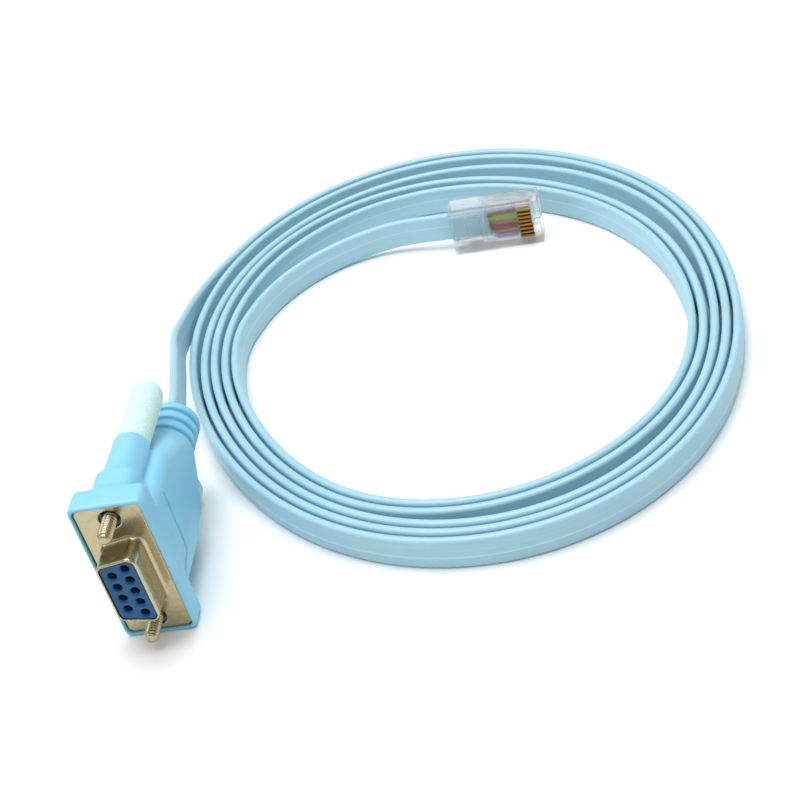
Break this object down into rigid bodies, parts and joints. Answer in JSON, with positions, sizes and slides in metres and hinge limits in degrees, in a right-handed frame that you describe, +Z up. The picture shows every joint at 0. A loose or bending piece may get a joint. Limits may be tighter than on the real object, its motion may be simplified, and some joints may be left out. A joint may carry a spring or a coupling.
{
  "type": "serial console cable",
  "caption": "Flat light blue console cable, coiled on edge, with a hooded D-type serial socket on thumbscrews at one end and a clear modular plug at the other.",
  "frame": {"origin": "on the floor, below the middle of the hood and its socket", "axes": "-Y is the way the D-type socket faces, +Z is up, and the cable lies coiled towards +X and +Y"},
  "size_m": [0.1261, 0.1602, 0.0326],
  "materials": {
    "hood_plastic": "satin",
    "shell_metal": "nickel plate, polished",
    "insulator_plastic": "satin",
    "contact_metal": "gold plate",
    "screw_metal": "nickel plate, satin",
    "grip_plastic": "fine texture",
    "cable_jacket": "satin",
    "clear_plastic": "clear, polished",
    "wire_1": "satin",
    "wire_2": "satin",
    "wire_3": "satin",
    "wire_4": "satin",
    "wire_5": "satin",
    "wire_6": "satin",
    "wire_7": "satin",
    "wire_8": "satin"
  },
  "bodies": {
    "cable": {"hood": "hood_plastic", "front_shell": "shell_metal", "insulator": "insulator_plastic", "socket_contact_1": "contact_metal", "socket_contact_2": "contact_metal", "socket_contact_3": "contact_metal", "socket_contact_4": "contact_metal", "socket_contact_5": "contact_metal", "socket_contact_6": "contact_metal", "socket_contact_7": "contact_metal", "socket_contact_8": "contact_metal", "socket_contact_9": "contact_metal", "cable_lead": "cable_jacket", "cable_coil": "cable_jacket", "cable_tail": "cable_jacket", "plug_housing": "clear_plastic", "plug_contact_1": "contact_metal", "plug_contact_2": "contact_metal", "plug_contact_3": "contact_metal", "plug_contact_4": "contact_metal", "plug_contact_5": "contact_metal", "plug_contact_6": "contact_metal", "plug_contact_7": "contact_metal", "plug_contact_8": "contact_metal", "plug_wire_1": "wire_1", "plug_wire_2": "wire_2", "plug_wire_3": "wire_3", "plug_wire_4": "wire_4", "plug_wire_5": "wire_5", "plug_wire_6": "wire_6", "plug_wire_7": "wire_7", "plug_wire_8": "wire_8"},
    "lower_screw": {"screw_lower": "screw_metal", "screw_grip_lower": "grip_plastic"},
    "upper_screw": {"screw_upper": "screw_metal", "screw_grip_upper": "grip_plastic"}
  },
  "joints": [
    {"name": "lower_screw_turn", "type": "hinge", "parent": "cable", "child": "lower_screw", "pos_m": [0, 0, 0.0038], "axis": [0, 1, 0], "continuous": true},
    {"name": "upper_screw_turn", "type": "hinge", "parent": "cable", "child": "upper_screw", "pos_m": [0, 0, 0.0288], "axis": [0, 1, 0], "continuous": true}
  ]
}
